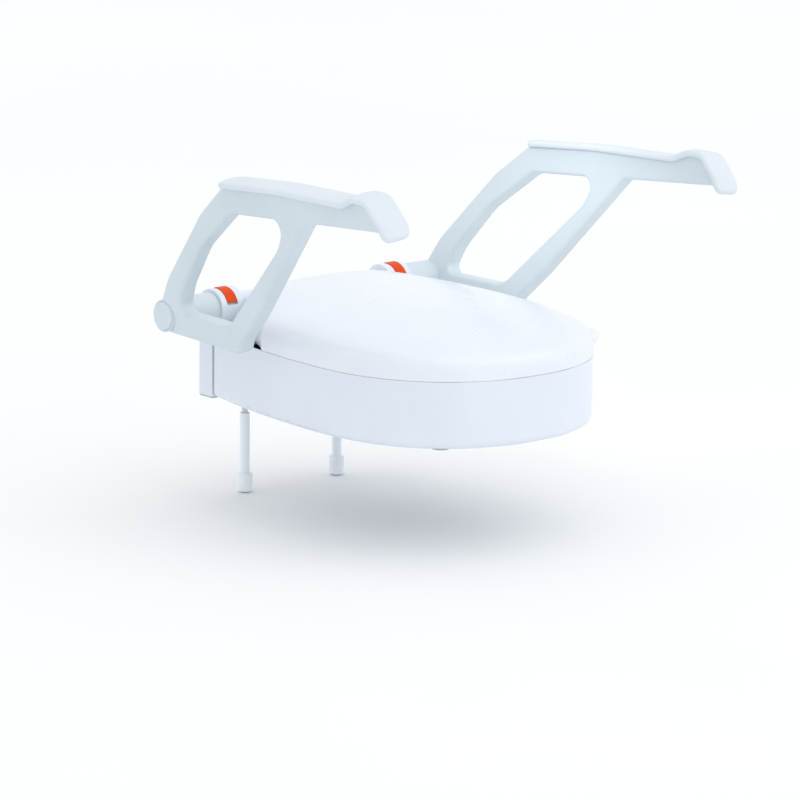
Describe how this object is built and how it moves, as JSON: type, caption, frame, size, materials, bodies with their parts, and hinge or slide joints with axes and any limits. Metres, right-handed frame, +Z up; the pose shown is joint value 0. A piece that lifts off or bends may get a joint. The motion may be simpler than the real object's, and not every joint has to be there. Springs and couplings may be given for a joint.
{
  "type": "raised toilet seat",
  "caption": "Raised toilet seat with a hinged seat and lid and two fold-up armrests, fixed to the toilet's rear bolt holes.",
  "frame": {"origin": "midway between the two fixing bolts, in the plane of the toilet rim", "axes": "+Z up, -Y towards the seat's front, +X to the user's left"},
  "size_m": [0.584, 0.5469, 0.4752],
  "materials": {
    "white_plastic": "glossy",
    "white_lid": "glossy",
    "white_nut": "satin",
    "grey_plastic": "satin",
    "orange_plastic": "satin",
    "steel": "satin",
    "rubber": "matte"
  },
  "bodies": {
    "base": {"console": "white_plastic", "base_plate": "steel", "gasket": "rubber", "plate_screws": "steel", "fixing_bolts": "steel", "fixing_washers": "steel", "fixing_nuts": "white_nut", "axle": "steel"},
    "seat": {"seat_shell": "white_plastic", "seat_tray": "white_plastic", "seat_buffers": "rubber"},
    "lid": {"lid_shell": "white_lid", "lid_buffers": "rubber"},
    "armrest_left": {"armrest_left_frame": "grey_plastic", "armrest_left_pad": "grey_plastic", "armrest_left_cap": "grey_plastic"},
    "armrest_right": {"armrest_right_frame": "grey_plastic", "armrest_right_pad": "grey_plastic", "armrest_right_cap": "grey_plastic"},
    "latch_left": {"latch_left": "orange_plastic"},
    "latch_right": {"latch_right": "orange_plastic"}
  },
  "joints": [
    {"name": "seat_hinge", "type": "hinge", "parent": "base", "child": "seat", "pos_m": [0, -0.031, 0.116], "axis": [-1, 0, 0], "range_deg": [0, 85]},
    {"name": "lid_hinge", "type": "hinge", "parent": "seat", "child": "lid", "pos_m": [0, -0.031, 0.116], "axis": [-1, 0, 0], "range_deg": [0, 92]},
    {"name": "armrest_left_hinge", "type": "hinge", "parent": "base", "child": "armrest_left", "pos_m": [0, -0.031, 0.116], "axis": [-1, 0, 0], "range_deg": [0, 95]},
    {"name": "armrest_right_hinge", "type": "hinge", "parent": "base", "child": "armrest_right", "pos_m": [0, -0.031, 0.116], "axis": [-1, 0, 0], "range_deg": [0, 95]},
    {"name": "latch_left_lift", "type": "slide", "parent": "base", "child": "latch_left", "axis": [0, -0.4848, 0.8746], "range_m": [0, 0.0035], "stiffness_N_per_m": 400},
    {"name": "latch_right_lift", "type": "slide", "parent": "base", "child": "latch_right", "axis": [0, -0.4848, 0.8746], "range_m": [0, 0.0035], "stiffness_N_per_m": 400}
  ]
}
